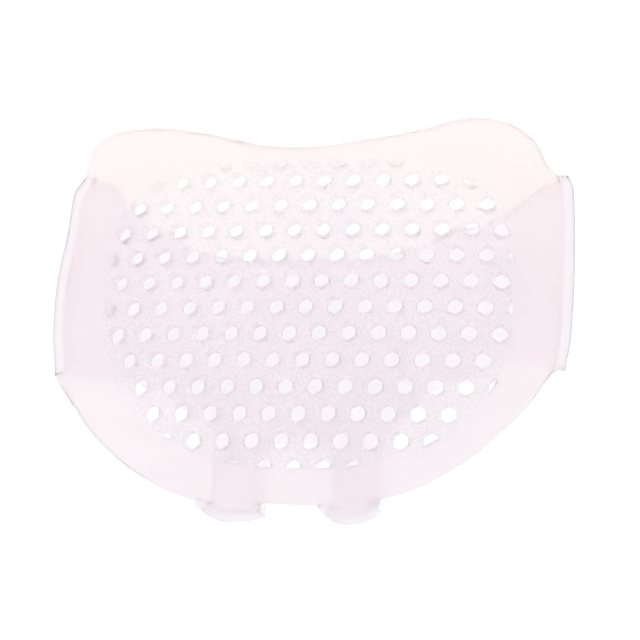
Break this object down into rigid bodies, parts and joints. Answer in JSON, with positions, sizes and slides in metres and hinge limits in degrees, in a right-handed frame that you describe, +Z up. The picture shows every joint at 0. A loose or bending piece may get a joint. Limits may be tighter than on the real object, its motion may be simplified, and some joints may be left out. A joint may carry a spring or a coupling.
{
  "type": "metatarsal pad sleeve",
  "caption": "Soft gel forefoot sleeve: a pierced honeycomb sole pad that folds round into a thin instep band, with toe straps at the front.",
  "frame": {"origin": "on the floor under the middle of the sleeve, which lies on its instep band with the sole pad up", "axes": "+X across the foot from fold to fold, +Y towards the heel side, +Z up through the sole pad"},
  "size_m": [0.1129, 0.0868, 0.016],
  "materials": {
    "soft_gel": "satin translucent white gel with a faint pink and lavender cast"
  },
  "bodies": {
    "root": {"gel_pad_sleeve": "soft_gel"}
  },
  "joints": []
}
